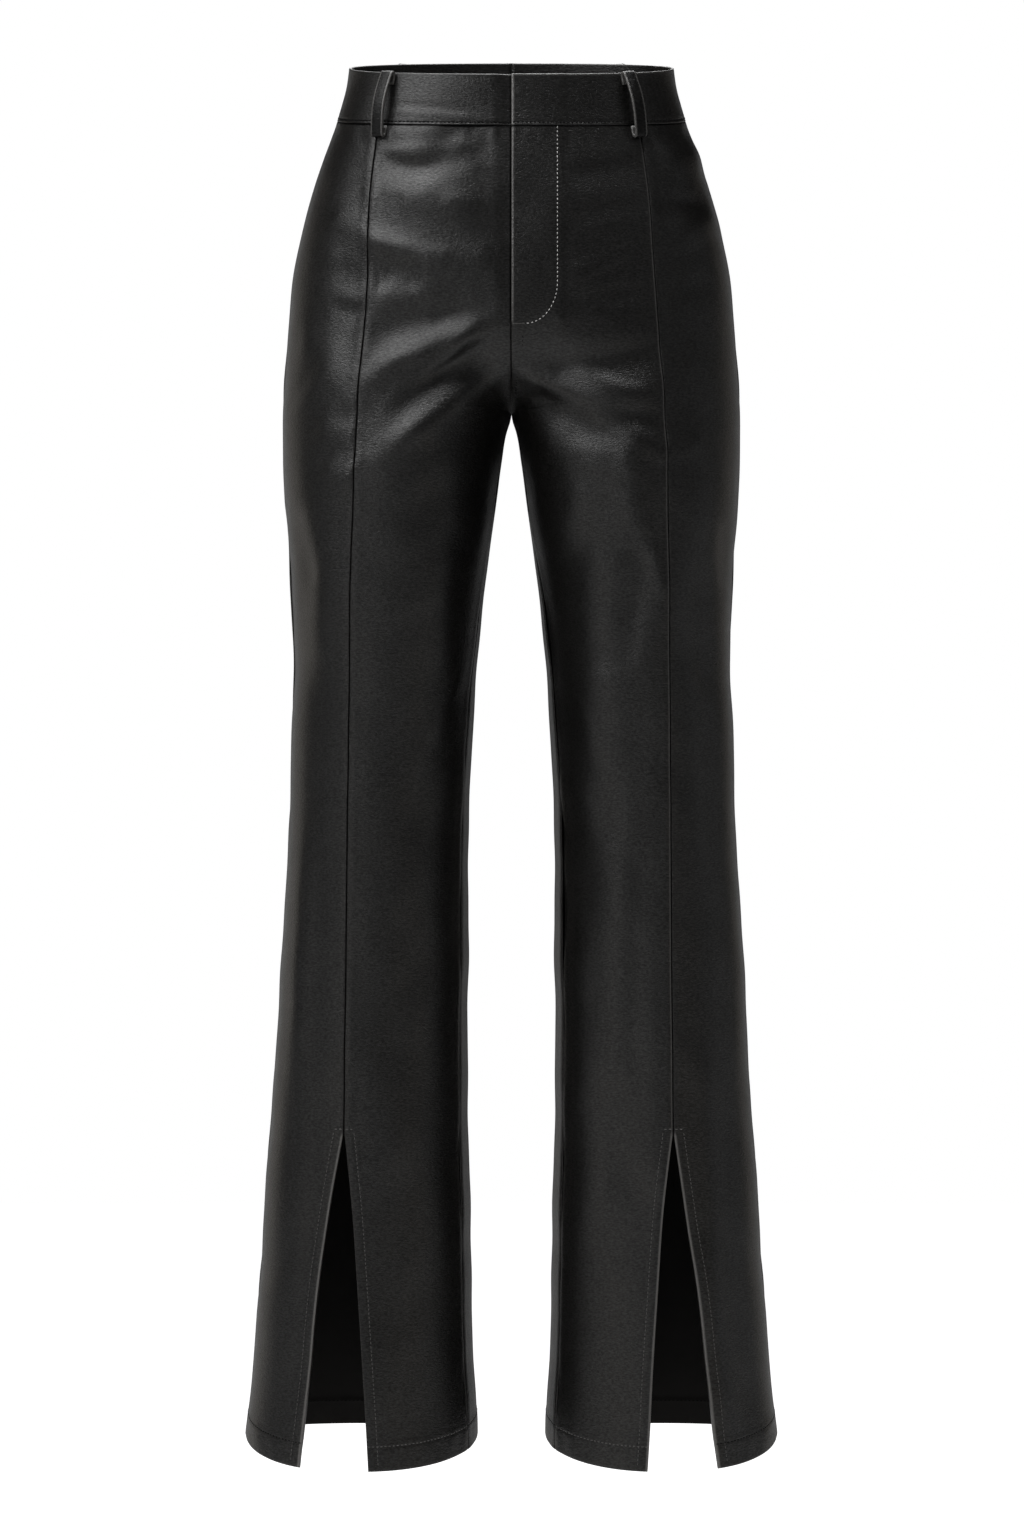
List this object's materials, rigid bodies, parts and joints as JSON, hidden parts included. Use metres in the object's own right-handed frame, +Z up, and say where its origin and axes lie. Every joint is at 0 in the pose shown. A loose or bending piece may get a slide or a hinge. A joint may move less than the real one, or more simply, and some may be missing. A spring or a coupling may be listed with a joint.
{
  "type": "faux leather trousers with front slits",
  "caption": "High-waisted faux leather trousers, worn shape and hollow, with front panel seams, a lapped fly, belt loops and a slit up the front of each leg.",
  "frame": {"origin": "middle of the waist opening, level with the rim at the sides", "axes": "+Z up, the front faces -Y, +X is the wearer's left"},
  "size_m": [0.3997, 0.2267, 1.0673],
  "materials": {
    "faux_leather": "black faux leather, fine pebbled grain with a satin gloss",
    "waistband": "the same black faux leather, two layers, topstitched",
    "belt_loops": "the same black faux leather, folded strip with edge stitching"
  },
  "bodies": {
    "root": {"waistband_right": "waistband", "waistband_left": "waistband", "front_centre_right": "faux_leather", "front_centre_left": "faux_leather", "front_side_right": "faux_leather", "front_side_left": "faux_leather", "back_right": "faux_leather", "back_left": "faux_leather", "belt_loop_front_right": "belt_loops", "belt_loop_front_left": "belt_loops", "belt_loop_back_right": "belt_loops", "belt_loop_back_left": "belt_loops", "belt_loop_back_centre": "belt_loops"}
  },
  "joints": []
}
